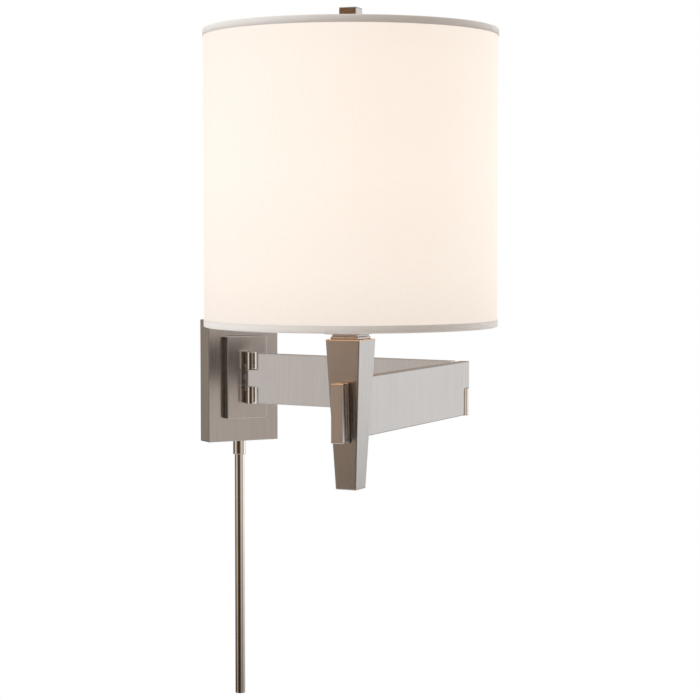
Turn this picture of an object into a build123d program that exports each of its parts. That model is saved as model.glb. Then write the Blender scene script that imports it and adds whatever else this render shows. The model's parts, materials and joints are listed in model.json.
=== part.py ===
from build123d import *
from math import asin, atan2, cos, radians, sin, sqrt
import os

# Swing-arm wall lamp with a drum shade.
# Frame: the wall is the plane Y = 0 and the lamp stands out from it towards -Y. +Z is up and +X is
# to the right of somebody who faces the wall. The origin is the centre of the back plate, on the wall.

# ---------------------------------------------------------------- driving dimensions, mm and degrees
running_clearance = 0.05      # radial, of a pin in its bore
hole_clearance = 0.2          # radial, of a screw or tube in a plain hole
side_gap = 0.1                # between a washer and the moving face beside it
screw_radius = 2.0            # M4 machine screws
screw_head_radius = 3.5
screw_head_height = 2.4
overlap = 1.0                 # how far a feature runs past its neighbour to join or cut it cleanly
same_place = 0.01             # points closer than this are taken as one
full_height_share = 0.9       # edges longer than this share of the stem run its whole height

# wall plate and its bracket
backplate_width = 92.0
backplate_height = 148.0
backplate_depth = 25.0
backplate_wall = 1.5
backplate_edge_radius = 1.0
front_edge_share = 0.8        # front edges of both plates are this much tighter than their corners
bracket_width = 76.0
bracket_thickness = 2.0
bracket_strap_width = 34.0
bracket_end_height = 16.0
bracket_flange_depth = 14.0
bracket_notch_width = 24.5     # round the collar's nut
bracket_gap = 0.5             # between a bracket flange and the back plate's wall
wall_slot_spacing = 89.0
wall_slot_length = 14.0
wall_slot_radius = 2.4
wire_opening_radius = 13.0
set_screw_spacing = 56.0
set_screw_length = 10.0
set_screw_recess = 0.4

# twist-on connectors of the supply wires
wire_nut_near = 20.0
wire_nut_far = 34.0
wire_nut_bottom = 22.0
wire_nut_length = 20.0
wire_nut_mouth_radius = 5.5
wire_nut_tip_radius = 3.5

# raised plate that carries the wall hinge
arm_mid_height = 4.5
hinge_plate_width = 52.0
hinge_plate_height = 100.0
hinge_plate_thickness = 11.0
hinge_plate_edge_radius = 1.2
plate_screw_radius = 2.5
plate_screw_spacing = 84.0
plate_screw_depth = 8.0
counterbore_depth = 3.5
bushing_radius = 3.5
bushing_flange_radius = 5.0
bushing_bore_radius = 2.3
bushing_flange_thickness = 1.0

# hinges
hinge_standoff = 12.0         # from the raised plate's face to the wall hinge's axis
barrel_radius = 6.25
hinge_pin_radius = 3.0
knuckle_height = 20.4
knuckle_end_wall = 1.2
tongue_height = 20.0
washer_thickness = 0.4
lug_width = 8.0
lug_plate_height = 14.0
lug_screw_shares = (0.25, 0.75)
lug_arch = 1.6
lug_screw_depth = 5.5
elbow_tenon_height = 15.0
elbow_tenon_width = 7.5
elbow_tenon_stop = 2.0        # solid metal left behind the tenon's mortice
washer_inset = 0.3            # of a washer's rim from the barrels'
pin_end_inset = 0.2           # of the elbow pin's top from the arm's top
screw_end_gap = 0.5           # past the end of a screw in a blind hole

# arms
arm_length = 290.0            # from hinge axis to hinge axis, and from the elbow to the stem's axis
arm_thickness = 12.5
arm_height = 60.0
arm_wall = 1.5
arm_edge_radius = 0.7
arm_end_gap = 13.8            # from a hinge's axis to the arm's full-height body
arm_notch_radius = 2.8
arm_end_block = 12.0          # solid metal at each end of an arm
strip_overlap = 8.0
strip_screw_radius = 1.5
strip_screw_length = 5.5
arm_one_angle = -59.0         # seen from above, from +X
arm_two_angle = 216.5
cable_radius = 2.2
cable_end_gap = 6.0           # from a cable's end to the end of its channel

# tapered stem
stem_top = 74.0
stem_bottom = -76.0
stem_top_width = 37.5
stem_bottom_width = 22.5
stem_wall = 2.0
stem_top_wall = 3.0
stem_edge_radius = 0.9
end_cap_height = 6.0
stem_cable_lift = 18.0        # above the stem's lower end
end_cap_gap = 0.1
neck_width = 30.0
neck_lip_height = 2.6
neck_groove_width = 27.4
neck_groove_height = 2.4
socket_plate_width = 40.0
socket_plate_height = 8.0
small_edge_radius = 0.5
stem_screw_spacing = 28.0
stem_screw_reach = 1.0

# rocker switch on the stem
switch_low = -28.5
switch_high = 31.5
switch_base_width = 13.0
switch_base_thickness = 3.0
switch_core_width = 10.0
switch_core_height = 54.0
switch_core_proud = 3.5
paddle_width = 13.0
paddle_low = -28.1
paddle_high = 31.1
paddle_face = 31.2            # from the stem's axis
paddle_low_thickness = 8.5
paddle_high_thickness = 3.8
paddle_edge_radius = 0.5
paddle_lug_width = 5.0
paddle_lug_height = 8.0
paddle_lug_overlap = 2.0      # how far the lug stops short of the paddle's face
switch_pocket_margin = 1.0
switch_pin_radius = 1.0
switch_cut_reach = 8.0        # how far the core's opening is cut outward

# socket, lamp and harp
nipple_radius = 5.0
nipple_bore_radius = 3.2
nipple_low_reach = 3.0        # past the nut below it
nipple_high_reach = 1.0       # past the nut above it
stem_cable_gap = 14.0         # from the stem's cable to the top of its cavity
nut_height = 3.2
nut_width = 16.0
saddle_thickness = 1.5
saddle_width = 12.0
saddle_span = 54.0            # from harp leg to harp leg
saddle_ear_height = 16.0
socket_radius = 17.0
socket_cap_height = 19.5
socket_cap_wall = 0.8
socket_cap_edge_radius = 2.0
socket_sleeve_wall = 0.65
socket_sleeve_height = 53.0
socket_sleeve_lift = 8.5
socket_core_height = 18.0
screw_shell_outer_radius = 14.2
screw_shell_wall = 0.7
screw_shell_height = 28.0
bulb_base_radius = 13.2
bulb_base_height = 27.0
bulb_base_gap = 2.0
bulb_contact_radius = 4.4
bulb_radius = 30.0
bulb_centre_height = 56.0     # above the bulb's metal base
bulb_wall = 1.0
globe_angle = 35.0            # of the arc's middle point, above the globe's middle
harp_wire_radius = 1.6
harp_half_width = 56.0
harp_shoulder_low = 60.0      # above the saddle
harp_shoulder_high = 200.0
harp_foot_height = 24.0
harp_bend_radius = 14.0
harp_disc_overlap = 0.4
harp_disc_radius = 9.0
harp_disc_thickness = 2.0
stud_radius = 3.0
stud_height = 15.0

# drum shade
shade_bottom = 86.5
shade_height = 293.0
shade_radius = 145.5
shade_wall = 1.2
trim_width = 7.4
trim_thickness = 0.6
ring_wire_radius = 1.2
ring_gap = 0.1
ring_inset = 1.7              # from a rim to the wire ring's centre
spider_drop = 10.5            # from the shade's top to the middle of the spider's hub
spider_hub_radius = 11.0
spoke_root = 2.0              # how deep the spokes start inside the hub
spider_hub_thickness = 2.0
spider_arm_radius = 1.6
finial_width = 18.0
finial_height = 20.0
finial_neck_radius = 5.0
finial_neck_height = 11.0
finial_turn = 5.0
finial_edge_radius = 0.8

# cord cover below the wall plate
cover_length = 312.5
cover_radius = 6.0
cover_wall = 1.0
collar_radius = 8.0
collar_height = 17.0
collar_seat = 2.0             # solid metal between the tube's end and the wall plate
collar_spigot_radius = 6.5
collar_spigot_height = 8.0
collar_bore_radius = 5.25
collar_nut_width = 18.0

# ---------------------------------------------------------------- derived places
neck_height = neck_lip_height + neck_groove_height
hinge_plate_face = backplate_depth + hinge_plate_thickness
hinge_y = -(hinge_plate_face + hinge_standoff)
cover_y = -backplate_depth / 2
shade_top = shade_bottom + shade_height
arm_half = arm_height / 2
pin_bore_radius = hinge_pin_radius + running_clearance
knuckle_start = tongue_height / 2 + washer_thickness + 2 * side_gap
knuckle_end = knuckle_start + knuckle_height
cavity_width = arm_thickness - 2 * arm_wall
plate_top = stem_top + neck_height + socket_plate_height


def direction(angle):
    return Vector(cos(radians(angle)), sin(radians(angle)), 0)


def plan_plane(origin, angle):
    """Horizontal plane with its x axis along an arm."""
    return Plane(origin=origin, x_dir=direction(angle), z_dir=(0, 0, 1))


def side_plane(origin, angle):
    """Upright plane through an arm's middle: x runs along the arm and y is up."""
    along = direction(angle)
    return Plane(origin=origin, x_dir=along, z_dir=(along.Y, -along.X, 0))


def end_plane(origin, angle):
    """Upright plane across an arm: its normal points along the arm and y is up."""
    along = direction(angle)
    return Plane(origin=origin, x_dir=(-along.Y, along.X, 0), z_dir=along)


wall_hinge_point = Vector(0, hinge_y, arm_mid_height)
elbow_point = wall_hinge_point + direction(arm_one_angle) * arm_length
stem_point = elbow_point + direction(arm_two_angle) * arm_length
stem_axis = Vector(stem_point.X, stem_point.Y, 0)


def stem_half(height):
    """Half of the stem's width at a height."""
    share = (height - stem_bottom) / (stem_top - stem_bottom)
    return (stem_bottom_width + (stem_top_width - stem_bottom_width) * share) / 2


def bar(plane, radius, length, at=((0, 0),), mode=Mode.ADD):
    """Round bars, or holes, that start on a plane."""
    with BuildSketch(plane) as ends:
        with Locations(*at):
            Circle(radius)
    extrude(ends.sketch, amount=length, mode=mode)


def block(plane, width, height, length, at=((0, 0),), mode=Mode.ADD):
    """Rectangular blocks, or pockets, that start on a plane."""
    with BuildSketch(plane) as ends:
        with Locations(*at):
            Rectangle(width, height)
    extrude(ends.sketch, amount=length, mode=mode)


def nut(plane, width, bore, height):
    """Hexagonal nut on a plane."""
    with BuildSketch(plane) as outline:
        RegularPolygon(width / 2, 6, major_radius=False)
        Circle(bore, mode=Mode.SUBTRACT)
    extrude(outline.sketch, amount=height)


def ring(plane, outer, inner, height):
    """Flat ring or tube on a plane."""
    with BuildSketch(plane) as outline:
        Circle(outer)
        Circle(inner, mode=Mode.SUBTRACT)
    extrude(outline.sketch, amount=height)


def plate(points, plane, width):
    """Straight-sided outline on an upright plane, as thick as width, half to each side."""
    with BuildSketch(plane) as outline:
        with BuildLine():
            Polyline(*points, close=True)
        make_face()
    extrude(outline.sketch, amount=width / 2, both=True)


def machine_screws(plane, radius, length, at):
    """Cylinder-head screws: the heads' undersides lie on the plane."""
    bar(plane, radius, length, at)
    bar(plane, radius + screw_head_radius - screw_radius, -screw_head_height, at)


# ---------------------------------------------------------------- wall plate
bracket_height = backplate_height - 2 * backplate_wall - 2 * bracket_gap
flange_z = (bracket_height - bracket_thickness) / 2
set_screw_y = -(bracket_flange_depth + bracket_thickness) / 2
set_screw_places = [(x * set_screw_spacing / 2, set_screw_y) for x in (-1, 1)]
set_screw_top = backplate_height / 2 - set_screw_recess

with BuildPart() as mounting_bracket:
    block(Plane.XZ, bracket_strap_width, bracket_height, bracket_thickness)
    end_z = (bracket_height - bracket_end_height) / 2
    block(Plane.XZ, bracket_width, bracket_end_height, bracket_thickness, [(0, -end_z), (0, end_z)])
    flange_places = [(0, -flange_z), (0, flange_z)]
    block(Plane.XZ, bracket_width, bracket_thickness, bracket_flange_depth, flange_places)
    with BuildSketch(Plane.XZ):
        Circle(wire_opening_radius)
        with Locations((0, -wall_slot_spacing / 2), (0, wall_slot_spacing / 2)):
            SlotOverall(wall_slot_length, 2 * wall_slot_radius, rotation=90)
    extrude(amount=bracket_thickness, mode=Mode.SUBTRACT)
    # room for the collar's nut in the lower flange
    block(Plane.XZ.offset(bracket_thickness), bracket_notch_width, bracket_thickness,
          bracket_flange_depth, [(0, -flange_z)], Mode.SUBTRACT)
    bar(Plane.XY.offset(-bracket_height / 2), screw_radius + running_clearance, bracket_height,
        set_screw_places, Mode.SUBTRACT)

with BuildPart() as backplate:
    block(Plane.XZ, backplate_width, backplate_height, backplate_depth)
    fillet(backplate.edges().filter_by(Axis.Y), backplate_edge_radius)
    fillet(backplate.faces().sort_by(Axis.Y)[0].edges(), backplate_edge_radius * front_edge_share)
    block(Plane.XZ, backplate_width - 2 * backplate_wall, backplate_height - 2 * backplate_wall,
          backplate_depth - backplate_wall, mode=Mode.SUBTRACT)
    front = Plane.XZ.offset(backplate_depth - backplate_wall)
    plate_screw_places = [(0, arm_mid_height + s * plate_screw_spacing / 2) for s in (-1, 1)]
    bar(front, plate_screw_radius + hole_clearance, backplate_wall, plate_screw_places, Mode.SUBTRACT)
    bar(front, bushing_flange_radius, backplate_wall, [(0, arm_mid_height)], Mode.SUBTRACT)
    bar(Plane.XY.offset(-backplate_height / 2), screw_radius + hole_clearance, backplate_height,
        set_screw_places, Mode.SUBTRACT)
    bar(Plane.XY.offset(-backplate_height / 2), collar_spigot_radius + hole_clearance,
        backplate_wall, [(0, cover_y)], Mode.SUBTRACT)

with BuildPart() as backplate_set_screws:
    bar(Plane.XY.offset(set_screw_top), screw_radius, -set_screw_length, set_screw_places)
    bar(Plane.XY.offset(-set_screw_top), screw_radius, set_screw_length, set_screw_places)

# ---------------------------------------------------------------- raised plate and wall hinge
lug_screw_offsets = [knuckle_end - lug_plate_height * share for share in lug_screw_shares]
lug_screw_places = [(0, arm_mid_height + s * z) for s in (-1, 1) for z in lug_screw_offsets]
plate_back = Plane.XZ.offset(backplate_depth)

with BuildPart() as hinge_plate:
    block(plate_back, hinge_plate_width, hinge_plate_height, hinge_plate_thickness,
          [(0, arm_mid_height)])
    fillet(hinge_plate.edges().filter_by(Axis.Y), hinge_plate_edge_radius)
    fillet(hinge_plate.faces().sort_by(Axis.Y)[0].edges(), hinge_plate_edge_radius * front_edge_share)
    bar(plate_back, plate_screw_radius + running_clearance, plate_screw_depth, plate_screw_places,
        Mode.SUBTRACT)
    bar(plate_back, screw_radius + hole_clearance, hinge_plate_thickness, lug_screw_places,
        Mode.SUBTRACT)
    bar(plate_back, screw_head_radius + hole_clearance, counterbore_depth, lug_screw_places,
        Mode.SUBTRACT)
    bar(plate_back, bushing_radius + running_clearance, hinge_plate_thickness,
        [(0, arm_mid_height)], Mode.SUBTRACT)

with BuildPart() as hinge_plate_screws:
    machine_screws(front, plate_screw_radius, plate_screw_depth, plate_screw_places)

with BuildPart() as wire_bushing:
    bushing_length = hinge_plate_thickness + bushing_flange_thickness
    ring(Plane(origin=(0, -backplate_depth, arm_mid_height), z_dir=(0, -1, 0)), bushing_radius,
         bushing_bore_radius, bushing_length)
    ring(Plane(origin=(0, -hinge_plate_face, arm_mid_height), z_dir=(0, -1, 0)),
         bushing_flange_radius, bushing_bore_radius, bushing_flange_thickness)

lug_top = arm_mid_height + knuckle_end
with BuildPart() as upper_wall_knuckle:
    barrel_base = Plane(origin=(0, hinge_y, arm_mid_height + knuckle_start))
    bar(barrel_base, barrel_radius, knuckle_height)
    with BuildSketch(Plane.YZ):
        with BuildLine():
            low_corner = (-hinge_plate_face, lug_top - lug_plate_height)
            barrel_corner = (hinge_y, arm_mid_height + knuckle_start)
            Polyline(barrel_corner, (hinge_y, lug_top), (-hinge_plate_face, lug_top), low_corner)
            arch_middle = ((low_corner[0] + barrel_corner[0]) / 2,
                           (low_corner[1] + barrel_corner[1]) / 2 + lug_arch)
            ThreePointArc(low_corner, arch_middle, barrel_corner)
        make_face()
    extrude(amount=lug_width / 2, both=True)
    bar(barrel_base, pin_bore_radius, knuckle_height - knuckle_end_wall, mode=Mode.SUBTRACT)
    bar(Plane.XZ.offset(hinge_plate_face), screw_radius + running_clearance, lug_screw_depth,
        lug_screw_places[2:], Mode.SUBTRACT)

with BuildPart() as lower_wall_knuckle:
    add(mirror(upper_wall_knuckle.part, about=Plane.XY.offset(arm_mid_height), mode=Mode.PRIVATE))

with BuildPart() as knuckle_screws:
    screw_seat = Plane.XZ.offset(backplate_depth + counterbore_depth)
    knuckle_screw_length = hinge_plate_thickness - counterbore_depth + lug_screw_depth - screw_end_gap
    machine_screws(screw_seat, screw_radius, knuckle_screw_length, lug_screw_places)

pin_half = knuckle_end - knuckle_end_wall - side_gap
with BuildPart() as wall_hinge_pin:
    bar(Plane(origin=wall_hinge_point).offset(-pin_half), hinge_pin_radius, 2 * pin_half)

with BuildPart() as wall_hinge_washers:
    for z in (tongue_height / 2 + side_gap, -tongue_height / 2 - side_gap - washer_thickness):
        ring(Plane(origin=wall_hinge_point).offset(z), barrel_radius - washer_inset, pin_bore_radius,
             washer_thickness)

# ---------------------------------------------------------------- supply wires in the wall plate
with BuildPart() as wire_nuts:
    for x in (-wire_nut_far, -wire_nut_near):
        with BuildSketch(Plane(origin=(x, cover_y, wire_nut_bottom))):
            Circle(wire_nut_mouth_radius)
        with BuildSketch(Plane(origin=(x, cover_y, wire_nut_bottom + wire_nut_length))):
            Circle(wire_nut_tip_radius)
        loft()

# ---------------------------------------------------------------- cord cover
collar_top = -backplate_height / 2
collar_bottom = collar_top - collar_height
cover_bottom = collar_top - cover_length
cover_bore = cover_radius - cover_wall

with BuildPart() as cord_collar:
    bar(Plane(origin=(0, cover_y, collar_bottom)), collar_radius, collar_height)
    fillet(cord_collar.faces().sort_by(Axis.Z)[0].edges(), small_edge_radius)
    spigot_height = collar_height + collar_spigot_height
    bar(Plane(origin=(0, cover_y, collar_bottom)), collar_spigot_radius, spigot_height)
    bar(Plane(origin=(0, cover_y, collar_bottom)), collar_bore_radius, spigot_height,
        mode=Mode.SUBTRACT)
    bar(Plane(origin=(0, cover_y, collar_bottom)), cover_radius + running_clearance,
        collar_height - collar_seat, mode=Mode.SUBTRACT)

with BuildPart() as collar_nut:
    nut(Plane(origin=(0, cover_y, collar_top + backplate_wall)), collar_nut_width,
        collar_spigot_radius + running_clearance, nut_height)

with BuildPart() as cord_cover_tube:
    ring(Plane(origin=(0, cover_y, cover_bottom)), cover_radius, cover_bore,
         cover_length - collar_seat)

# ---------------------------------------------------------------- arm one
arm_one_plan = plan_plane(wall_hinge_point, arm_one_angle)
arm_one_side = side_plane(wall_hinge_point, arm_one_angle)
arm_one_end = end_plane(wall_hinge_point, arm_one_angle)
cavity_start = arm_end_gap + arm_end_block
arm_one_cavity_end = arm_length - arm_end_gap - arm_end_block


def soften_arm(arm, angle):
    """Round the long outer edges of an arm's body."""
    along = Axis((0, 0, 0), tuple(direction(angle)))
    long_edges = [e for e in arm.edges().filter_by(along)
                  if abs(abs(e.center().Z - arm_mid_height) - arm_half) < 0.01]
    fillet(long_edges, arm_edge_radius)


def strip_places(start, end):
    return [(start - strip_overlap / 2, 0), (end + strip_overlap / 2, 0)]


def arm_cavity(plan, start, end):
    """Wire channel, open below, with a step that the bottom strip closes."""
    middle = ((start + end) / 2, 0)
    block(plan.offset(-arm_half), end - start, cavity_width, arm_height - arm_wall, [middle],
          Mode.SUBTRACT)
    block(plan.offset(-arm_half), end - start + 2 * strip_overlap, cavity_width, arm_wall, [middle],
          Mode.SUBTRACT)
    bar(plan.offset(-arm_half), strip_screw_radius + running_clearance,
        strip_screw_length + running_clearance, strip_places(start, end), Mode.SUBTRACT)


def bottom_strip(plan, start, end):
    middle = ((start + end) / 2, 0)
    block(plan.offset(-arm_half), end - start + 2 * strip_overlap, cavity_width, arm_wall, [middle])
    bar(plan.offset(-arm_half), strip_screw_radius + running_clearance, arm_wall,
        strip_places(start, end), Mode.SUBTRACT)


def strip_screws(plan, start, end):
    bar(plan.offset(-arm_half), strip_screw_radius, strip_screw_length, strip_places(start, end))


def arm_cable(across, start, end, height):
    bar(across.offset(start), cable_radius, end - start, [(0, height)])


arm_one_start = arm_end_gap
arm_one_body_end = arm_length - arm_end_gap
with BuildPart() as arm_one_body:
    with BuildSketch(arm_one_side) as arm_one_outline:
        with Locations(((arm_one_start + arm_one_body_end) / 2, 0)):
            Rectangle(arm_one_body_end - arm_one_start, arm_height)
        with Locations((arm_one_start, 0)):
            Rectangle(2 * arm_one_start, tongue_height)
        notch_corners = [v for v in arm_one_outline.vertices()
                         if abs(v.X - arm_one_start) < same_place and abs(v.Y) < arm_half - same_place]
        fillet(notch_corners, arm_notch_radius)
    extrude(amount=arm_thickness / 2, both=True)
    soften_arm(arm_one_body, arm_one_angle)
    bar(arm_one_plan.offset(-tongue_height / 2), arm_thickness / 2, tongue_height)
    bar(arm_one_plan.offset(-tongue_height / 2), pin_bore_radius, tongue_height, mode=Mode.SUBTRACT)
    arm_cavity(arm_one_plan, cavity_start, arm_one_cavity_end)
    # mortice and screw hole for the elbow knuckle
    tenon_middle = -side_gap - knuckle_end / 2
    mortice_depth = arm_end_block - elbow_tenon_stop
    block(arm_one_end.offset(arm_one_cavity_end + elbow_tenon_stop), elbow_tenon_width,
          elbow_tenon_height, mortice_depth, [(0, tenon_middle)], Mode.SUBTRACT)
    bar(arm_one_end.offset(arm_one_cavity_end), screw_radius + hole_clearance, arm_end_block,
        [(0, tenon_middle)], Mode.SUBTRACT)

with BuildPart() as arm_one_strip:
    bottom_strip(arm_one_plan, cavity_start, arm_one_cavity_end)

with BuildPart() as arm_one_strip_screws:
    strip_screws(arm_one_plan, cavity_start, arm_one_cavity_end)

with BuildPart() as arm_one_cable:
    arm_cable(arm_one_end, cavity_start + cable_end_gap, arm_one_cavity_end - cable_end_gap,
              arm_half / 2)

# ---------------------------------------------------------------- elbow
elbow_plan = plan_plane(elbow_point, arm_one_angle)
elbow_split = washer_thickness / 2 + side_gap
with BuildPart() as elbow_knuckle:
    bar(elbow_plan.offset(-knuckle_end), barrel_radius, knuckle_end - elbow_split)
    lug_length = arm_end_gap + mortice_depth
    block(end_plane(elbow_point, arm_one_angle).offset(-lug_length), elbow_tenon_width,
          elbow_tenon_height, lug_length, [(0, tenon_middle)])
    bar(elbow_plan.offset(-knuckle_end + knuckle_end_wall), pin_bore_radius, knuckle_end,
        mode=Mode.SUBTRACT)
    bar(end_plane(elbow_point, arm_one_angle).offset(-lug_length), screw_radius + running_clearance,
        lug_length - barrel_radius, [(0, tenon_middle)], Mode.SUBTRACT)

with BuildPart() as elbow_knuckle_screw:
    machine_screws(arm_one_end.offset(arm_one_cavity_end), screw_radius,
                   arm_end_block - 2 * screw_end_gap,
                   [(0, tenon_middle)])

with BuildPart() as elbow_pin:
    elbow_pin_low = -knuckle_end + knuckle_end_wall + side_gap
    bar(elbow_plan.offset(elbow_pin_low), hinge_pin_radius, arm_half - elbow_pin_low - pin_end_inset)

with BuildPart() as elbow_washer:
    ring(elbow_plan.offset(-washer_thickness / 2), barrel_radius - washer_inset, pin_bore_radius,
         washer_thickness)

# ---------------------------------------------------------------- arm two
arm_two_plan = plan_plane(elbow_point, arm_two_angle)
arm_two_side = side_plane(elbow_point, arm_two_angle)
arm_two_end = end_plane(elbow_point, arm_two_angle)
arm_two_reach = arm_length - stem_half(arm_mid_height + arm_half)
arm_two_cavity_end = arm_two_reach - arm_end_block
stem_screw_places = [(0, -stem_screw_spacing / 2), (0, stem_screw_spacing / 2)]

with BuildPart() as arm_two_body:
    with BuildSketch(arm_two_side) as arm_two_outline:
        with BuildLine():
            Polyline((0, arm_half), (arm_two_reach, arm_half),
                     (arm_length - stem_half(arm_mid_height - arm_half), -arm_half),
                     (arm_end_gap, -arm_half), (arm_end_gap, elbow_split), (0, elbow_split),
                     close=True)
        make_face()
        notch_corner = [v for v in arm_two_outline.vertices()
                        if abs(v.X - arm_end_gap) < 0.01 and abs(v.Y - elbow_split) < 0.01]
        fillet(notch_corner, arm_notch_radius)
    extrude(amount=arm_thickness / 2, both=True)
    soften_arm(arm_two_body, arm_two_angle)
    bar(arm_two_plan.offset(elbow_split), arm_thickness / 2, arm_half - elbow_split)
    bar(arm_two_plan.offset(elbow_split), pin_bore_radius, arm_half - elbow_split,
        mode=Mode.SUBTRACT)
    arm_cavity(arm_two_plan, cavity_start, arm_two_cavity_end)
    bar(arm_two_end.offset(arm_two_cavity_end), screw_radius + hole_clearance,
        arm_length - arm_two_cavity_end, stem_screw_places, Mode.SUBTRACT)

with BuildPart() as arm_two_strip:
    bottom_strip(arm_two_plan, cavity_start, arm_two_cavity_end)

with BuildPart() as arm_two_strip_screws:
    strip_screws(arm_two_plan, cavity_start, arm_two_cavity_end)

with BuildPart() as arm_two_cable:
    arm_cable(arm_two_end, cavity_start + cable_end_gap, arm_two_cavity_end - cable_end_gap, 0)

stem_screw_length = arm_length - stem_half(arm_mid_height - arm_half) + stem_wall
stem_screw_length += stem_screw_reach - arm_two_cavity_end
with BuildPart() as stem_screws:
    machine_screws(arm_two_end.offset(arm_two_cavity_end), screw_radius, stem_screw_length,
                   stem_screw_places)

# ---------------------------------------------------------------- stem
stem_plan = plan_plane(stem_axis, arm_two_angle)
stem_side = side_plane(stem_axis, arm_two_angle)


def square(plane, width):
    with BuildSketch(plane) as outline:
        Rectangle(width, width)
    return outline.sketch


with BuildPart() as stem_shell:
    loft([square(stem_plan.offset(stem_bottom), stem_bottom_width).face(),
          square(stem_plan.offset(stem_top), stem_top_width).face()])
    sloping_edges = [e for e in stem_shell.edges() if e.length > (stem_top - stem_bottom) * full_height_share]
    fillet(sloping_edges, stem_edge_radius)
    fillet(stem_shell.faces().sort_by(Axis.Z)[-1].edges(), small_edge_radius)
    cavity_top = stem_top - stem_top_wall
    loft([square(stem_plan.offset(stem_bottom), stem_bottom_width - 2 * stem_wall).face(),
          square(stem_plan.offset(cavity_top), 2 * (stem_half(cavity_top) - stem_wall)).face()],
         mode=Mode.SUBTRACT)
    bar(stem_plan.offset(cavity_top), nipple_radius + running_clearance, stem_top_wall,
        mode=Mode.SUBTRACT)
    bar(arm_two_end.offset(arm_two_reach - overlap), screw_radius + running_clearance,
        arm_length - arm_two_reach, stem_screw_places, Mode.SUBTRACT)

with BuildPart() as stem_end_cap:
    cap_width = stem_bottom_width - 2 * stem_wall - 2 * end_cap_gap
    block(stem_plan.offset(stem_bottom), cap_width, cap_width, end_cap_height)

with BuildPart() as stem_cable:
    cable_low = stem_bottom + stem_cable_lift
    bar(stem_plan.offset(cable_low), cable_radius, cavity_top - stem_cable_gap - cable_low)

with BuildPart() as neck_block:
    block(stem_plan.offset(stem_top), neck_width, neck_width, neck_lip_height)
    fillet(neck_block.edges().filter_by(Axis.Z), small_edge_radius)
    block(stem_plan.offset(stem_top + neck_lip_height), neck_groove_width, neck_groove_width,
          neck_groove_height)
    bar(stem_plan.offset(stem_top), nipple_radius + running_clearance, neck_height,
        mode=Mode.SUBTRACT)

with BuildPart() as socket_plate:
    socket_plate_base = stem_plan.offset(stem_top + neck_height)
    block(socket_plate_base, socket_plate_width, socket_plate_width, socket_plate_height)
    fillet(socket_plate.edges(), small_edge_radius)
    bar(socket_plate_base, nipple_radius + running_clearance, socket_plate_height,
        mode=Mode.SUBTRACT)

# ---------------------------------------------------------------- rocker switch
core_low = (switch_low + switch_high - switch_core_height) / 2
core_high = core_low + switch_core_height
rocker_height = (paddle_low + paddle_high) / 2
rocker_reach = stem_half(rocker_height) + switch_base_thickness


def on_stem_face(height, proud):
    """Point of an upright outline that stands proud of the stem's sloping front face."""
    return (stem_half(height) + proud, height)


def sloping_plate(low, high, inner, outer, width):
    """Plate that lies along the stem's sloping front face."""
    plate([on_stem_face(low, inner), on_stem_face(low, outer), on_stem_face(high, outer),
           on_stem_face(high, inner)], stem_side, width)


def rocker_pin(radius, length, mode=Mode.ADD):
    with BuildSketch(stem_side) as pin_end:
        with Locations((rocker_reach, rocker_height)):
            Circle(radius)
    extrude(pin_end.sketch, amount=length / 2, both=True, mode=mode)


with BuildPart() as switch_core:
    sloping_plate(core_low, core_high, 0, switch_base_thickness + switch_core_proud,
                  switch_core_width)
    with BuildSketch(stem_side) as pocket:
        with Locations((rocker_reach, rocker_height)):
            Rectangle(paddle_lug_width + switch_pocket_margin,
                      paddle_lug_height + 2 * switch_pocket_margin)
        with Locations((rocker_reach + switch_cut_reach / 2, rocker_height)):
            Rectangle(switch_cut_reach, paddle_lug_height + 2 * switch_pocket_margin)
    pocket_width = paddle_lug_width + switch_pocket_margin
    extrude(pocket.sketch, amount=pocket_width / 2, both=True, mode=Mode.SUBTRACT)
    rocker_pin(switch_pin_radius + running_clearance, switch_core_width, Mode.SUBTRACT)

with BuildPart() as switch_base:
    sloping_plate(switch_low, switch_high, 0, switch_base_thickness, switch_base_width)
    fillet(switch_base.edges().group_by(Axis(stem_axis, tuple(direction(arm_two_angle))))[-1],
           small_edge_radius / 2)
    with BuildSketch(stem_side) as core_hole:
        with BuildLine():
            Polyline(on_stem_face(core_low, -1), on_stem_face(core_low, switch_cut_reach),
                     on_stem_face(core_high, switch_cut_reach), on_stem_face(core_high, -1),
                     close=True)
        make_face()
    extrude(core_hole.sketch, amount=switch_core_width / 2, both=True, mode=Mode.SUBTRACT)

with BuildPart() as switch_pin:
    rocker_pin(switch_pin_radius, switch_core_width - side_gap)

with BuildPart() as switch_paddle:
    plate([(paddle_face - paddle_low_thickness, paddle_low), (paddle_face, paddle_low),
           (paddle_face, paddle_high), (paddle_face - paddle_high_thickness, paddle_high)],
          stem_side, paddle_width)
    fillet(switch_paddle.edges(), paddle_edge_radius)
    lug_inner = rocker_reach - paddle_lug_width / 2
    with BuildSketch(stem_side) as lug_outline:
        lug_outer = paddle_face - paddle_lug_overlap
        with Locations(((lug_inner + lug_outer) / 2, rocker_height)):
            Rectangle(lug_outer - lug_inner, paddle_lug_height)
    extrude(lug_outline.sketch, amount=paddle_lug_width / 2, both=True)
    rocker_pin(switch_pin_radius + running_clearance, switch_core_width, Mode.SUBTRACT)

# ---------------------------------------------------------------- socket and lamp
socket_axis = Plane(origin=stem_axis)
saddle_top = plate_top + saddle_thickness
nut_base = saddle_top + socket_cap_wall
nipple_low = cavity_top - nut_height - nipple_low_reach
nipple_high = nut_base + nut_height + nipple_high_reach

with BuildPart() as lamp_nipple:
    ring(socket_axis.offset(nipple_low), nipple_radius, nipple_bore_radius,
         nipple_high - nipple_low)

with BuildPart() as nipple_nut:
    nut(stem_plan.offset(cavity_top - nut_height), nut_width, nipple_radius + running_clearance,
        nut_height)

with BuildPart() as socket_nut:
    nut(stem_plan.offset(nut_base), nut_width, nipple_radius + running_clearance, nut_height)

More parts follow.
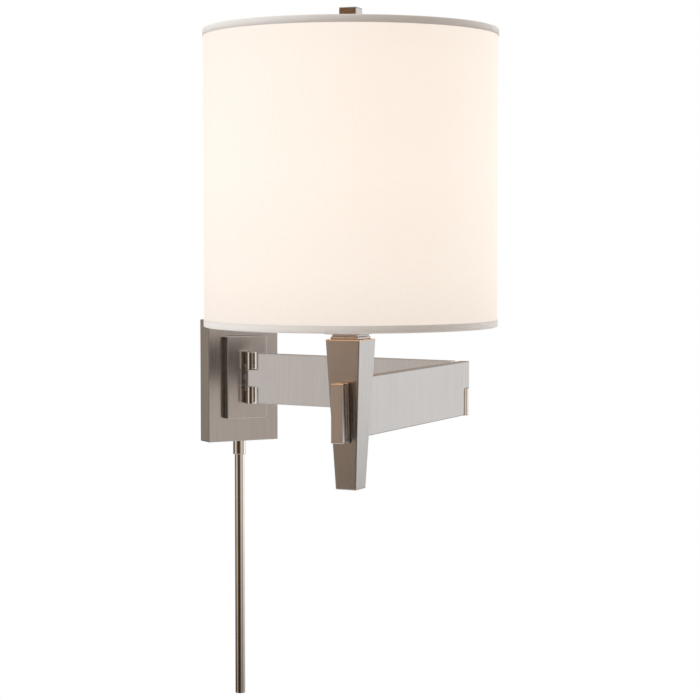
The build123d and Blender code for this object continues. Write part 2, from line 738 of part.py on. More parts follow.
with BuildPart() as harp_saddle:
    ear_middle = saddle_span / 2 + harp_wire_radius + running_clearance + saddle_thickness / 2
    block(socket_axis.offset(plate_top), 2 * ear_middle + saddle_thickness, saddle_width,
          saddle_thickness)
    block(socket_axis.offset(saddle_top), saddle_thickness, saddle_width, saddle_ear_height,
          [(-ear_middle, 0), (ear_middle, 0)])
    bar(socket_axis.offset(plate_top), nipple_radius + running_clearance, saddle_thickness,
        mode=Mode.SUBTRACT)

with BuildPart() as socket_cap:
    bar(socket_axis.offset(saddle_top), socket_radius, socket_cap_height)
    fillet(socket_cap.faces().sort_by(Axis.Z)[0].edges(), socket_cap_edge_radius)
    bar(socket_axis.offset(nut_base), socket_radius - socket_cap_wall,
        socket_cap_height - socket_cap_wall, mode=Mode.SUBTRACT)
    bar(socket_axis.offset(saddle_top), nipple_radius + running_clearance, socket_cap_wall,
        mode=Mode.SUBTRACT)

sleeve_radius = socket_radius - socket_cap_wall - running_clearance
sleeve_base = saddle_top + socket_sleeve_lift
with BuildPart() as socket_sleeve:
    ring(socket_axis.offset(sleeve_base), sleeve_radius, sleeve_radius - socket_sleeve_wall,
         socket_sleeve_height)

with BuildPart() as socket_core:
    bar(socket_axis.offset(sleeve_base), sleeve_radius - socket_sleeve_wall - running_clearance,
        socket_core_height)

shell_base = sleeve_base + socket_core_height
with BuildPart() as socket_screw_shell:
    ring(socket_axis.offset(shell_base), screw_shell_outer_radius,
         screw_shell_outer_radius - screw_shell_wall, screw_shell_height)

bulb_base_low = shell_base + bulb_base_gap
glass_low = bulb_base_low + bulb_base_height
with BuildPart() as bulb_base:
    bar(socket_axis.offset(bulb_base_low), bulb_base_radius, bulb_base_height)
    bar(socket_axis.offset(shell_base + hole_clearance), bulb_contact_radius, bulb_base_gap)


def envelope(neck, globe, mode=Mode.ADD):
    """Glass envelope: a cone from the neck that runs smoothly into a globe."""
    reach = sqrt(neck**2 + bulb_centre_height**2)
    dip = asin(globe / reach) - atan2(neck, bulb_centre_height)
    centre = glass_low + bulb_centre_height
    shoulder = (globe * cos(dip), centre - globe * sin(dip))
    side = (globe * cos(radians(globe_angle)), centre + globe * sin(radians(globe_angle)))
    with BuildSketch(Plane(origin=stem_axis, x_dir=(1, 0, 0), z_dir=(0, -1, 0))) as half:
        with BuildLine():
            Polyline((0, centre + globe), (0, glass_low), (neck, glass_low), shoulder)
            ThreePointArc(shoulder, side, (0, centre + globe))
        make_face()
    revolve(half.sketch, Axis(stem_axis, (0, 0, 1)), mode=mode)


with BuildPart() as bulb_glass:
    envelope(bulb_base_radius, bulb_radius)
    envelope(bulb_base_radius - bulb_wall, bulb_radius - bulb_wall, Mode.SUBTRACT)

# ---------------------------------------------------------------- harp
harp_plane = Plane(origin=stem_axis, x_dir=(1, 0, 0), z_dir=(0, -1, 0))
hub_middle = shade_top - spider_drop
hub_low = hub_middle - spider_hub_thickness / 2
disc_low = hub_low - harp_disc_thickness
harp_top = disc_low - harp_wire_radius + harp_disc_overlap
leg = saddle_span / 2
leg_low = saddle_top + running_clearance

with BuildPart() as harp:
    with BuildLine(harp_plane) as harp_path:
        right_side = [(leg, leg_low), (leg, saddle_top + harp_foot_height),
                      (harp_half_width, saddle_top + harp_shoulder_low),
                      (harp_half_width, saddle_top + harp_shoulder_high), (leg / 2, harp_top)]
        left_side = [(-x, z) for x, z in reversed(right_side)]
        FilletPolyline(*right_side, *left_side, radius=harp_bend_radius)
    with BuildSketch(Plane(origin=harp_path.line @ 0, z_dir=harp_path.line % 0)):
        Circle(harp_wire_radius)
    sweep()
    bar(socket_axis.offset(disc_low), harp_disc_radius, harp_disc_thickness)
    bar(socket_axis.offset(disc_low), stud_radius, harp_disc_thickness + stud_height)

# ---------------------------------------------------------------- shade
shade_inner = shade_radius - shade_wall
ring_radius = shade_inner - ring_wire_radius - ring_gap


def wire_ring(height):
    with BuildSketch(harp_plane) as wire:
        with Locations((ring_radius, height)):
            Circle(ring_wire_radius)
    revolve(wire.sketch, Axis(stem_axis, (0, 0, 1)))


with BuildPart() as shade_spider:
    ring(socket_axis.offset(hub_low), spider_hub_radius, stud_radius + hole_clearance,
         spider_hub_thickness)
    wire_ring(shade_top - ring_inset)
    for angle in (30, 150, 270):
        inner_end = stem_axis + direction(angle) * (spider_hub_radius - spoke_root) + Vector(0, 0, hub_middle)
        outer_end = stem_axis + direction(angle) * ring_radius + Vector(0, 0, shade_top - ring_inset)
        outer_end -= Vector(0, 0, spider_arm_radius - ring_wire_radius)
        spoke = outer_end - inner_end
        bar(Plane(origin=inner_end, z_dir=spoke), spider_arm_radius, spoke.length)

with BuildPart() as shade_bottom_ring:
    wire_ring(shade_bottom + ring_inset)

with BuildPart() as shade_drum:
    ring(socket_axis.offset(shade_bottom), shade_radius, shade_inner, shade_height)

with BuildPart() as shade_top_trim:
    ring(socket_axis.offset(shade_top - trim_width), shade_radius + trim_thickness, shade_radius,
         trim_width)

with BuildPart() as shade_bottom_trim:
    ring(socket_axis.offset(shade_bottom), shade_radius + trim_thickness, shade_radius, trim_width)

# ---------------------------------------------------------------- finial
finial_base = hub_low + spider_hub_thickness
with BuildPart() as finial:
    finial_plan = plan_plane(stem_axis, arm_two_angle + finial_turn)
    block(finial_plan.offset(finial_base + finial_neck_height), finial_width, finial_width,
          finial_height)
    fillet(finial.edges(), finial_edge_radius)
    bar(finial_plan.offset(finial_base), finial_neck_radius, finial_neck_height + overlap)
    bar(finial_plan.offset(finial_base), stud_radius + running_clearance, stud_height + overlap,
        mode=Mode.SUBTRACT)

# ---------------------------------------------------------------- export
pieces = {
    "mounting_bracket": mounting_bracket,
    "backplate": backplate,
    "backplate_set_screws": backplate_set_screws,
    "hinge_plate": hinge_plate,
    "hinge_plate_screws": hinge_plate_screws,
    "wire_bushing": wire_bushing,
    "upper_wall_knuckle": upper_wall_knuckle,
    "lower_wall_knuckle": lower_wall_knuckle,
    "knuckle_screws": knuckle_screws,
    "wall_hinge_pin": wall_hinge_pin,
    "wall_hinge_washers": wall_hinge_washers,
    "wire_nuts": wire_nuts,
    "cord_collar": cord_collar,
    "collar_nut": collar_nut,
    "cord_cover_tube": cord_cover_tube,
    "arm_one_body": arm_one_body,
    "arm_one_strip": arm_one_strip,
    "arm_one_strip_screws": arm_one_strip_screws,
    "arm_one_cable": arm_one_cable,
    "elbow_knuckle": elbow_knuckle,
    "elbow_knuckle_screw": elbow_knuckle_screw,
    "elbow_pin": elbow_pin,
    "elbow_washer": elbow_washer,
    "arm_two_body": arm_two_body,
    "arm_two_strip": arm_two_strip,
    "arm_two_strip_screws": arm_two_strip_screws,
    "arm_two_cable": arm_two_cable,
    "stem_screws": stem_screws,
    "stem_shell": stem_shell,
    "stem_end_cap": stem_end_cap,
    "stem_cable": stem_cable,
    "neck_block": neck_block,
    "socket_plate": socket_plate,
    "switch_base": switch_base,
    "switch_core": switch_core,
    "switch_pin": switch_pin,
    "switch_paddle": switch_paddle,
    "lamp_nipple": lamp_nipple,
    "nipple_nut": nipple_nut,
    "socket_nut": socket_nut,
    "harp_saddle": harp_saddle,
    "harp": harp,
    "socket_cap": socket_cap,
    "socket_sleeve": socket_sleeve,
    "socket_core": socket_core,
    "socket_screw_shell": socket_screw_shell,
    "bulb_base": bulb_base,
    "bulb_glass": bulb_glass,
    "shade_spider": shade_spider,
    "shade_bottom_ring": shade_bottom_ring,
    "shade_drum": shade_drum,
    "shade_top_trim": shade_top_trim,
    "shade_bottom_trim": shade_bottom_trim,
    "finial": finial,
}
os.makedirs("parts", exist_ok=True)
for node, piece in pieces.items():
    piece.part.label = node
    export_step(piece.part, f"parts/{node}.step")
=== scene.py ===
import json
import math

import bmesh
import bpy
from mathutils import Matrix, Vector

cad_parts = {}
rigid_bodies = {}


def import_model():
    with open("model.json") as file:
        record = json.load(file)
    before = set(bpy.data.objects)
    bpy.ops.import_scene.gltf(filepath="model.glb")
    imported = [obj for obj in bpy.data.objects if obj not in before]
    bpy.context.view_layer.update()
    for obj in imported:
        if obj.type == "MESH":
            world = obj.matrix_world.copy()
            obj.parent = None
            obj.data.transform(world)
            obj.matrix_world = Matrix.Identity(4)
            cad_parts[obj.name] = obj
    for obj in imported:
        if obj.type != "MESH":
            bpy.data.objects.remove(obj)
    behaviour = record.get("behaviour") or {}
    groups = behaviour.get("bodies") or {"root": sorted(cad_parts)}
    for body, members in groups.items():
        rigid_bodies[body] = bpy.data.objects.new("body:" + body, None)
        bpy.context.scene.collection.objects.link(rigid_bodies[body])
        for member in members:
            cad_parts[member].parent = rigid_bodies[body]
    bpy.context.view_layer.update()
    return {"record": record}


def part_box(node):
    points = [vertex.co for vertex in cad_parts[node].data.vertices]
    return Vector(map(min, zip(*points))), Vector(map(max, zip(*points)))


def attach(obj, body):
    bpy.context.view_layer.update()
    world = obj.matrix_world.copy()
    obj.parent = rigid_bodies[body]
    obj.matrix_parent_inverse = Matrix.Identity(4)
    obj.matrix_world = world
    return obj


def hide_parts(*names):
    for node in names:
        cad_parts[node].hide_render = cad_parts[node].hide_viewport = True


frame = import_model()

# ---------------------------------------------------------------- places read from the frame
shade_low, shade_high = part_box("shade_drum")
axis_x = (shade_low.x + shade_high.x) / 2
axis_y = (shade_low.y + shade_high.y) / 2
shade_radius = (shade_high.x - shade_low.x) / 2
shade_axis = Vector((axis_x, axis_y, 0))
trim_low, trim_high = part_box("shade_top_trim")
trim_width = trim_high.z - trim_low.z
trim_radius = (trim_high.x - trim_low.x) / 2
ring_low, ring_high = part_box("shade_bottom_ring")
ring_wire_radius = (ring_high.z - ring_low.z) / 2
ring_radius = (ring_high.x - ring_low.x) / 2 - ring_wire_radius
bulb_low, bulb_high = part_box("bulb_glass")


# ---------------------------------------------------------------- node helpers
class Nodes:
    """A material's node tree, with short calls for the nodes that the materials here share."""

    def __init__(self, name):
        self.material = bpy.data.materials.new(name)
        self.material.use_nodes = True
        self.tree = self.material.node_tree
        self.tree.nodes.clear()
        self.output = self.tree.nodes.new("ShaderNodeOutputMaterial")
        self.place = self.tree.nodes.new("ShaderNodeTexCoord").outputs["Object"]

    def add(self, kind, **inputs):
        node = self.tree.nodes.new("ShaderNode" + kind)
        for key, value in inputs.items():
            self.put(node, key.replace("_", " "), value)
        return node

    def put(self, node, key, value):
        socket = node.inputs[int(key) if key.isdigit() else key]
        if isinstance(value, bpy.types.NodeSocket):
            self.tree.links.new(value, socket)
        else:
            socket.default_value = value

    def maths(self, operation, first, second=0.0, third=0.0):
        node = self.tree.nodes.new("ShaderNodeMath")
        node.operation = operation
        for index, value in enumerate((first, second, third)):
            self.put(node, str(index), value)
        return node.outputs[0]

    def scaled(self, vector, scale):
        node = self.tree.nodes.new("ShaderNodeMapping")
        self.put(node, "Vector", vector)
        node.inputs["Scale"].default_value = scale
        return node.outputs[0]

    def noise(self, vector, scale, detail=3.0, roughness=0.55):
        node = self.add("TexNoise", Vector=vector, Scale=scale, Detail=detail, Roughness=roughness)
        return node.outputs["Fac"]

    def ramp(self, value, *stops):
        node = self.tree.nodes.new("ShaderNodeValToRGB")
        self.put(node, "Fac", value)
        elements = node.color_ramp.elements
        while len(elements) < len(stops):
            elements.new(0.5)
        for element, (position, colour) in zip(elements, stops):
            element.position = position
            element.color = (*colour, 1)
        return node.outputs["Color"]

    def between(self, value, low, high, from_low=0.0, from_high=1.0):
        node = self.tree.nodes.new("ShaderNodeMapRange")
        for key, number in zip("1234", (from_low, from_high, low, high)):
            node.inputs[int(key)].default_value = number
        self.put(node, "0", value)
        return node.outputs[0]

    def bump(self, height, distance, strength=1.0, normal=None):
        node = self.add("Bump", Height=height, Distance=distance, Strength=strength)
        if normal is not None:
            self.put(node, "Normal", normal)
        return node.outputs[0]

    def rounded_edge(self, radius):
        node = self.tree.nodes.new("ShaderNodeBevel")
        node.samples = 4
        node.inputs["Radius"].default_value = radius
        return node.outputs[0]

    def deepened(self, colour, reach, least):
        """Painted shade: the colour, darker where another surface stands close in front of it, as in gaps and
        creases between parts.
        """
        near = self.tree.nodes.new("ShaderNodeAmbientOcclusion")
        near.samples = 6
        near.inputs["Distance"].default_value = reach
        darker = self.tree.nodes.new("ShaderNodeVectorMath")
        darker.operation = "SCALE"
        self.put(darker, "0", colour)
        self.put(darker, "Scale", self.between(near.outputs["AO"], least, 1.0, 0.35, 0.85))
        return darker.outputs[0]

    def surface(self, **inputs):
        shader = self.add("BsdfPrincipled", **inputs)
        self.tree.links.new(shader.outputs[0], self.output.inputs["Surface"])
        return shader


def shade_of(colour, factor):
    return tuple(min(channel * factor, 1.0) for channel in colour)


# ---------------------------------------------------------------- metals and plastics
def satin_metal(name, colour, roughness, brush=(1500, 1500, 30)):
    """Brushed and lacquered metal: fine upright scratches, slow changes of tone, softened edges."""
    n = Nodes(name)
    scratches = n.noise(n.scaled(n.place, brush), 1.0, 3.0, 0.6)
    streaks = n.noise(n.scaled(n.place, (420, 420, 10)), 1.0, 4.0, 0.65)
    grain = n.noise(n.place, 900.0, 3.0, 0.7)
    cloud = n.noise(n.place, 11.0, 3.0)
    tone = n.maths("MULTIPLY_ADD", scratches, 0.2, n.maths("MULTIPLY", grain, 0.25))
    tone = n.maths("MULTIPLY_ADD", streaks, 0.32, tone)
    tone = n.maths("MULTIPLY_ADD", cloud, 0.2, tone)
    base = n.ramp(tone, (0.37, shade_of(colour, 0.93)), (0.59, shade_of(colour, 1.05)))
    rough = n.between(n.maths("ADD", scratches, cloud), roughness - 0.03, roughness + 0.04, 0.7, 1.3)
    normal = n.bump(scratches, 0.00001, 0.3, n.rounded_edge(0.0013))
    # painted shade: the base colour is darkened in gaps and creases between parts
    n.surface(Base_Color=n.deepened(base, 0.0014, 0.25), Metallic=1.0, Roughness=rough, Normal=normal)
    return n.material


def polished_metal(name, colour, roughness):
    """Bright plated metal with faint wipe marks and a hint of waviness."""
    n = Nodes(name)
    wipes = n.noise(n.scaled(n.place, (90, 90, 400)), 1.0, 4.0, 0.65)
    cloud = n.noise(n.place, 60.0, 2.0)
    base = n.ramp(cloud, (0.3, shade_of(colour, 0.94)), (0.7, shade_of(colour, 1.03)))
    rough = n.between(wipes, roughness * 0.6, roughness * 1.8, 0.3, 0.7)
    normal = n.bump(cloud, 0.00008, 0.15, n.rounded_edge(0.0003))
    # painted shade: the base colour is darkened in gaps and creases between parts
    n.surface(Base_Color=n.deepened(base, 0.0014, 0.15), Metallic=1.0, Roughness=rough, Normal=normal)
    return n.material


def turned_metal(name, colour, roughness):
    """Machined or plated hardware with a fine grain and darker tarnish in patches."""
    n = Nodes(name)
    grain = n.noise(n.place, 1800.0, 3.0)
    patches = n.noise(n.place, 90.0, 4.0)
    base = n.ramp(patches, (0.3, shade_of(colour, 0.72)), (0.62, colour))
    rough = n.between(patches, roughness + 0.15, roughness, 0.3, 0.7)
    n.surface(Base_Color=base, Metallic=1.0, Roughness=rough, Normal=n.bump(grain, 0.00003, 0.4))
    return n.material


def moulded(name, colour, roughness):
    """Moulded plastic or rubber with a fine spark-eroded grain."""
    n = Nodes(name)
    grain = n.noise(n.place, 2200.0, 2.0)
    cloud = n.noise(n.place, 40.0, 3.0)
    base = n.ramp(cloud, (0.3, shade_of(colour, 0.8)), (0.7, shade_of(colour, 1.15)))
    rough = n.between(grain, roughness - 0.06, roughness + 0.08, 0.3, 0.7)
    n.surface(Base_Color=base, Roughness=rough, Normal=n.bump(grain, 0.00005, 0.35))
    return n.material


def lit_glass(name):
    """Frosted bulb, brightest round its middle."""
    n = Nodes(name)
    frost = n.noise(n.place, 900.0, 2.0)
    height = n.tree.nodes.new("ShaderNodeSeparateXYZ")
    n.put(height, "Vector", n.place)
    glow = n.between(height.outputs["Z"], 0.35, 1.0, bulb_low.z, bulb_low.z + 0.05)
    colour = n.ramp(glow, (0.0, (1.0, 0.62, 0.30)), (1.0, (1.0, 0.86, 0.66)))
    shader = n.surface(Base_Color=(0.93, 0.9, 0.84, 1), Roughness=0.45,
                       Normal=n.bump(frost, 0.00004, 0.4))
    n.put(shader, "Emission Color", colour)
    shader.inputs["Emission Strength"].default_value = 9.0
    return n.material


# ---------------------------------------------------------------- shade cloth
def round_shade(n):
    """Distance round the shade and height, in metres, from the position on the drum."""
    split = n.tree.nodes.new("ShaderNodeSeparateXYZ")
    n.put(split, "Vector", n.place)
    x = n.maths("SUBTRACT", split.outputs["X"], axis_x)
    y = n.maths("SUBTRACT", split.outputs["Y"], axis_y)
    angle = n.maths("ARCTAN2", y, x)
    return n.maths("MULTIPLY", angle, shade_radius), split.outputs["Z"]


def weave(n, around, height, pitch):
    """Plain weave: threads over and under each other, with uneven thickness."""
    turn = 2 * math.pi / pitch
    across = n.maths("SINE", n.maths("MULTIPLY", around, turn / 2))
    upright = n.maths("SINE", n.maths("MULTIPLY", height, turn / 2))
    checks = n.maths("MULTIPLY", across, upright)
    threads = n.maths("ABSOLUTE", checks)
    joined = n.add("CombineXYZ", X=around, Y=height)
    slubs_wide = n.noise(n.scaled(joined.outputs[0], (60, 1700, 1)), 1.0, 3.0)
    slubs_tall = n.noise(n.scaled(joined.outputs[0], (1700, 60, 1)), 1.0, 3.0)
    slubs = n.maths("ADD", slubs_wide, slubs_tall)
    return threads, slubs


def glowing_cloth(name, colour, glow, strength):
    """Shade cloth with a painted glow in place of the bulb's light through it: brighter at the bulb's height,
    with the weave showing through.
    """
    n = Nodes(name)
    around, height = round_shade(n)
    threads, slubs = weave(n, around, height, 0.0009)
    level = n.between(height, 0.0, 1.0, shade_low.z, shade_high.z)
    falloff = n.ramp(level, (0.0, shade_of(glow, 0.86)), (0.18, shade_of(glow, 0.95)),
                     (0.5, glow), (0.85, shade_of(glow, 0.985)), (1.0, shade_of(glow, 0.95)))
    thin = n.between(slubs, 0.965, 1.03, 0.7, 1.3)
    lit = n.add("VectorMath")
    lit.operation = "SCALE"
    n.put(lit, "0", falloff)
    n.put(lit, "Scale", thin)
    relief = n.maths("ADD", n.maths("MULTIPLY", threads, 0.6), n.maths("MULTIPLY", slubs, 0.4))
    shader = n.surface(Base_Color=(*colour, 1), Roughness=0.85,
                       Normal=n.bump(relief, 0.00012, 0.5))
    shader.inputs["Sheen Weight"].default_value = 0.15
    # painted glow: the emission stands in for the bulb's light coming through the cloth
    n.put(shader, "Emission Color", lit.outputs[0])
    shader.inputs["Emission Strength"].default_value = strength
    return n.material


def trim_cloth(name, colour):
    """Folded cloth edge: the same weave, too thick for much light to come through."""
    n = Nodes(name)
    around, height = round_shade(n)
    threads, slubs = weave(n, around, height, 0.0009)
    base = n.ramp(slubs, (0.35, shade_of(colour, 0.9)), (0.65, shade_of(colour, 1.05)))
    relief = n.maths("ADD", n.maths("MULTIPLY", threads, 0.6), n.maths("MULTIPLY", slubs, 0.4))
    shader = n.surface(Base_Color=base, Roughness=0.9, Normal=n.bump(relief, 0.00015, 0.6))
    shader.inputs["Sheen Weight"].default_value = 0.2
    # painted glow: a faint warm emission for the little bulb light that comes through the tape
    n.put(shader, "Emission Color", (1.0, 0.72, 0.52, 1))
    shader.inputs["Emission Strength"].default_value = 0.05
    return n.material


slot_materials = {
    "satin_nickel": satin_metal("satin_nickel", (0.60, 0.58, 0.565), 0.19),
    "polished_nickel": polished_metal("polished_nickel", (0.80, 0.76, 0.71), 0.06),
    "zinc_steel": turned_metal("zinc_steel", (0.62, 0.63, 0.65), 0.28),
    "brass": turned_metal("brass", (0.80, 0.60, 0.28), 0.24),
    "bulb_base_metal": turned_metal("bulb_base_metal", (0.78, 0.78, 0.79), 0.22),
    "frame_wire": turned_metal("frame_wire", (0.62, 0.58, 0.54), 0.3),
    "cable_rubber": moulded("cable_rubber", (0.03, 0.03, 0.03), 0.5),
    "connector_plastic": moulded("connector_plastic", (0.85, 0.30, 0.05), 0.35),
    "black_plastic": moulded("black_plastic", (0.025, 0.024, 0.023), 0.45),
    "bulb_glass": lit_glass("bulb_glass"),
    # the cloth's and the liner's glow is painted light, standing in for the bulb lighting them from inside
    "shade_linen": glowing_cloth("shade_linen", (0.16, 0.16, 0.165), (0.91, 0.80, 0.70), 1.0),
    "shade_liner": glowing_cloth("shade_liner", (0.80, 0.66, 0.50), (1.0, 0.50, 0.22), 0.55),
    "shade_trim": trim_cloth("shade_trim", (0.80, 0.765, 0.735)),
}
# the rocker's core is a brown plastic that takes up the tone of the metal round it
own_materials = {"switch_core": moulded("switch_plastic", (0.30, 0.245, 0.205), 0.3)}
for subpart in frame["record"]["subparts"]:
    mesh = bpy.data.objects[subpart["node"]].data
    mesh.materials.clear()
    mesh.materials.append(own_materials.get(subpart["node"], slot_materials[subpart["material_slot"]]))


# ---------------------------------------------------------------- mesh helpers
def revolved(name, profile, segments):
    """Mesh of a closed outline of (radius, height) points turned about the shade's axis."""
    mesh = bpy.data.meshes.new(name)
    build = bmesh.new()
    rings = []
    for step in range(segments):
        turn = 2 * math.pi * step / segments
        rings.append([build.verts.new((axis_x + r * math.cos(turn), axis_y + r * math.sin(turn), z))
                      for r, z in profile])
    count = len(profile)
    for step, ring in enumerate(rings):
        following = rings[(step + 1) % segments]
        for index in range(count):
            other = (index + 1) % count
            build.faces.new((ring[index], following[index], following[other], ring[other]))
    bmesh.ops.recalc_face_normals(build, faces=build.faces)
    for face in build.faces:
        face.smooth = True
    build.to_mesh(mesh)
    build.free()
    piece = bpy.data.objects.new(name, mesh)
    bpy.context.scene.collection.objects.link(piece)
    return piece


def finish_piece(piece, body, material):
    piece.data.materials.append(material)
    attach(piece, body)
    return piece


# ---------------------------------------------------------------- shade
round_steps = 192
cloth_thickness = 0.0006
cloth_steps = 24
liner_thickness = 0.0005
liner_steps = 12
liner_gap = 0.00002
edge_inset = 0.0008             # the cloth stops this far inside each rim, under the folded tape
tape_thickness = 0.0006
tape_lap = 0.0048               # how far the tape runs back up inside the rim
tape_fold_height = 0.0013
tape_fold_steps = 8
tape_ring_gap = 0.0005


def tube_profile(outer, inner, low, high, steps):
    """Closed outline of a thin upright wall."""
    heights = [low + (high - low) * step / steps for step in range(steps + 1)]
    return [(outer, z) for z in heights] + [(inner, z) for z in reversed(heights)]


cloth_bottom = shade_low.z + edge_inset
cloth_top = shade_high.z - edge_inset
cloth_inner = shade_radius - cloth_thickness
liner_outer = cloth_inner - liner_gap
liner_inner = liner_outer - liner_thickness
cloth = revolved("shade_cloth", tube_profile(shade_radius, cloth_inner, cloth_bottom, cloth_top, cloth_steps),
                 round_steps)
liner = revolved("shade_liner", tube_profile(liner_outer, liner_inner, cloth_bottom, cloth_top, liner_steps),
                 round_steps)


def folded_edge(name, rim_z, inward):
    """Cloth tape folded over a rim and round the wire ring. inward is +1 for the bottom rim."""
    outer = trim_radius
    inner = ring_radius - ring_wire_radius - tape_ring_gap
    middle = (outer + inner) / 2
    half = (outer - inner) / 2
    arc = [math.pi * step / tape_fold_steps for step in range(tape_fold_steps + 1)]
    height = tape_fold_height
    outside = [(outer, rim_z + inward * trim_width)]
    outside += [(middle + half * math.cos(a), rim_z + inward * (height - height * math.sin(a)))
                for a in arc]
    outside += [(inner, rim_z + inward * tape_lap)]
    inside = [(inner + tape_thickness, rim_z + inward * tape_lap)]
    inside += [(middle + (half - tape_thickness) * math.cos(a),
                rim_z + inward * (height - (height - tape_thickness) * math.sin(a)))
               for a in reversed(arc)]
    inside += [(outer - tape_thickness, rim_z + inward * trim_width)]
    return revolved(name, outside + inside, round_steps)


top_edge = folded_edge("shade_top_edge", shade_high.z, -1)
bottom_edge = folded_edge("shade_bottom_edge", shade_low.z, 1)

for piece, slot, surface in ((cloth, "shade_linen", "shade_linen"),
                             (liner, "shade_linen", "shade_liner"),
                             (top_edge, "shade_trim", "shade_trim"),
                             (bottom_edge, "shade_trim", "shade_trim")):
    finish_piece(piece, "arm_two", slot_materials[surface])
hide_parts("shade_drum")
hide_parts("shade_top_trim")
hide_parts("shade_bottom_trim")


# ---------------------------------------------------------------- studio
# degrees from straight in front of the lamp, positive to its left, and the light from there
panorama = [
    (-180, (0.40, 0.35, 0.31)), (-151, (0.42, 0.33, 0.27)), (-132, (1.15, 1.13, 1.11)),
    (-112, (1.0, 0.99, 0.98)), (-95, (0.90, 0.89, 0.89)), (-84, (1.2, 1.22, 1.25)),
    (-64, (1.2, 1.22, 1.25)), (-50, (0.32, 0.29, 0.27)), (-30, (0.56, 0.50, 0.46)),
    (-20, (0.72, 0.64, 0.58)), (-7, (0.80, 0.68, 0.58)), (6, (0.40, 0.33, 0.27)),
    (16, (0.22, 0.18, 0.15)), (24, (0.05, 0.036, 0.026)), (52, (0.05, 0.036, 0.026)),
    (62, (0.15, 0.085, 0.042)), (78, (0.38, 0.22, 0.105)), (86, (0.76, 0.70, 0.65)),
    (98, (0.94, 0.91, 0.90)), (108, (0.42, 0.39, 0.38)), (120, (0.22, 0.20, 0.19)),
    (134, (0.10, 0.075, 0.055)), (143, (0.14, 0.11, 0.085)), (151, (0.38, 0.32, 0.27)),
    (168, (0.34, 0.285, 0.24)), (180, (0.46, 0.41, 0.37)),
]
# height of a direction, -1 straight down and 1 straight up, and the share of the light left there
height_shares = [(-0.24, 0.36), (-0.13, 1.0), (0.12, 1.0), (0.26, 0.42), (0.45, 0.42), (0.62, 1.0)]
# light from above, and the heights between which it takes over
sky_colour = (0.80, 0.765, 0.73)
sky_start = 0.42
sky_full = 0.66


def studio():
    """White surroundings for the eye; soft panels and dark gaps round the horizon for the metal."""
    world = bpy.data.worlds.new("studio")
    bpy.context.scene.world = world
    world.use_nodes = True
    tree = world.node_tree
    tree.nodes.clear()

    def make(kind, operation=None, **inputs):
        node = tree.nodes.new("ShaderNode" + kind)
        if operation:
            node.operation = operation
        for key, value in inputs.items():
            key = int(key[1:]) if key[1:].isdigit() else key.replace("_", " ")
            if isinstance(value, bpy.types.NodeSocket):
                tree.links.new(value, node.inputs[key])
            else:
                node.inputs[key].default_value = value
        return node

    place = make("TexCoord").outputs["Generated"]
    parts = make("SeparateXYZ", Vector=place)
    left = make("Math", "MULTIPLY", _0=parts.outputs["X"], _1=-1.0)
    front = make("Math", "MULTIPLY", _0=parts.outputs["Y"], _1=-1.0)
    turn = make("Math", "ARCTAN2", _0=left.outputs[0], _1=front.outputs[0])
    share = make("Math", "MULTIPLY_ADD", _0=turn.outputs[0], _1=1 / (2 * math.pi), _2=0.5)
    panels = make("ValToRGB", Fac=share.outputs[0])
    elements = panels.color_ramp.elements
    while len(elements) < len(panorama):
        elements.new(0.5)
    for element, (angle, colour) in zip(elements, panorama):
        element.position = angle / 360 + 0.5
        element.color = (*colour, 1)
    level = make("MapRange", _0=parts.outputs["Z"], _1=-1.0, _2=1.0, _3=0.0, _4=1.0)
    low = make("ValToRGB", Fac=level.outputs[0])
    marks = low.color_ramp.elements
    while len(marks) < len(height_shares):
        marks.new(0.5)
    for mark, (rise, share_left) in zip(marks, height_shares):
        mark.position = rise / 2 + 0.5
        mark.color = (share_left, share_left, share_left, 1)
    dimmed = make("VectorMath", "SCALE", _0=panels.outputs[0], Scale=low.outputs[0])
    height = make("MapRange", _0=parts.outputs["Z"], _1=sky_start, _2=sky_full, _3=0.0, _4=1.0)
    lofted = make("MixRGB", Fac=height.outputs[0], Color1=dimmed.outputs[0], Color2=(*sky_colour, 1))
    around = make("Background", Color=lofted.outputs[0], Strength=1.0)
    white = make("Background", Color=(1, 1, 1, 1), Strength=1.0)
    seen = make("LightPath").outputs["Is Camera Ray"]
    both = make("MixShader", _0=seen, _1=around.outputs[0], _2=white.outputs[0])
    output = make("OutputWorld")
    tree.links.new(both.outputs[0], output.inputs["Surface"])


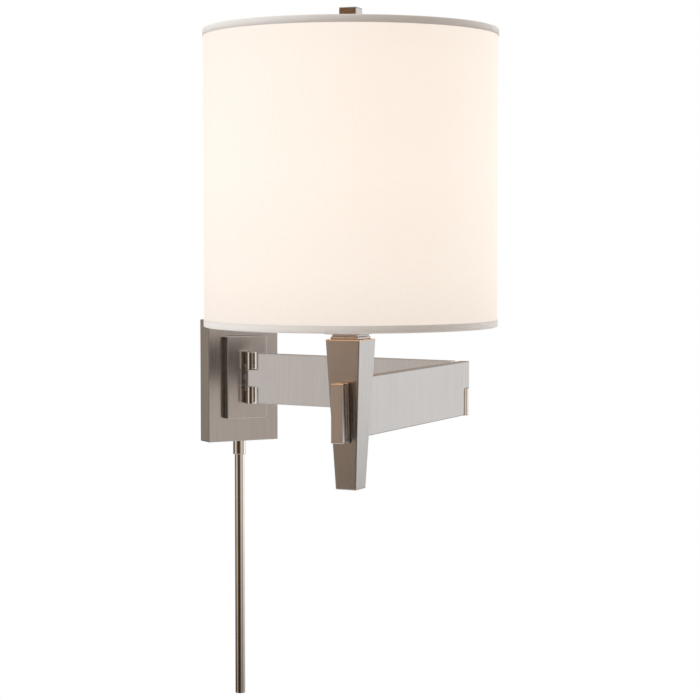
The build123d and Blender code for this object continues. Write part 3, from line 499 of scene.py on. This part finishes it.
def lamp(name, kind, place, aim, power, colour, size):
    """A light; aim is the point that it faces, or None. size is an area's side or a bulb's radius."""
    data = bpy.data.lights.new(name, kind)
    data.energy = power
    data.color = colour
    if kind == "AREA":
        data.size = size
    else:
        data.shadow_soft_size = size
    light = bpy.data.objects.new(name, data)
    bpy.context.scene.collection.objects.link(light)
    light.location = place
    if aim is not None:
        light.rotation_euler = (Vector(aim) - Vector(place)).to_track_quat("-Z", "Y").to_euler()
    return light


floor_radius = 2.6
floor_level = -1.25


def pale_floor():
    """Large pale disc below the lamp."""
    mesh = bpy.data.meshes.new("floor")
    build = bmesh.new()
    bmesh.ops.create_circle(build, cap_ends=True, segments=96, radius=floor_radius)
    build.to_mesh(mesh)
    build.free()
    floor = bpy.data.objects.new("floor", mesh)
    bpy.context.scene.collection.objects.link(floor)
    floor.location = (axis_x, axis_y, floor_level)
    n = Nodes("pale_floor")
    cloud = n.noise(n.place, 3.0, 2.0)
    n.surface(Base_Color=n.ramp(cloud, (0.3, (0.86, 0.86, 0.86)), (0.7, (0.9, 0.9, 0.9))), Roughness=0.7)
    mesh.materials.append(n.material)


studio()
pale_floor()
bulb_middle = (bulb_low.z + bulb_high.z) / 2
bulb_light_rise = 0.02
bulb_light_radius = 0.032
bulb_light_power = 0.7
bulb_light_colour = (1.0, 0.52, 0.26)
# the side panels light the cloth only; the metal reflects the panorama
panel_aim = 0.2                 # height of the point that both panels face
panel_colour = (0.90, 0.96, 1.0)
panel_size = 1.6
lamp("bulb_light", "POINT", (axis_x, axis_y, bulb_middle + bulb_light_rise), None, bulb_light_power,
     bulb_light_colour, bulb_light_radius)
for name, offset, power in (("left_panel", (-2.2, 0.3, 1.0), 36.0),
                            ("right_panel", (2.1, 0.6, 1.0), 30.0)):
    panel = lamp(name, "AREA", shade_axis + Vector(offset), shade_axis + Vector((0, 0, panel_aim)), power,
                 panel_colour, panel_size)
    panel.visible_glossy = False

# ---------------------------------------------------------------- camera
camera_data = bpy.data.cameras.new("camera")
camera = bpy.data.objects.new("camera", camera_data)
bpy.context.scene.collection.objects.link(camera)
camera_data.sensor_width = 36.0
camera_data.lens = 102.17
camera_data.clip_end = 50
camera_turn = math.radians(-27.41)
camera_dip = math.radians(-3.45)
camera.location = (-0.9939, -2.2227, 0.1820)
camera.rotation_euler = (math.pi / 2 + camera_dip, 0, camera_turn)
bpy.context.scene.camera = camera
bpy.context.scene.view_settings.view_transform = "Standard"
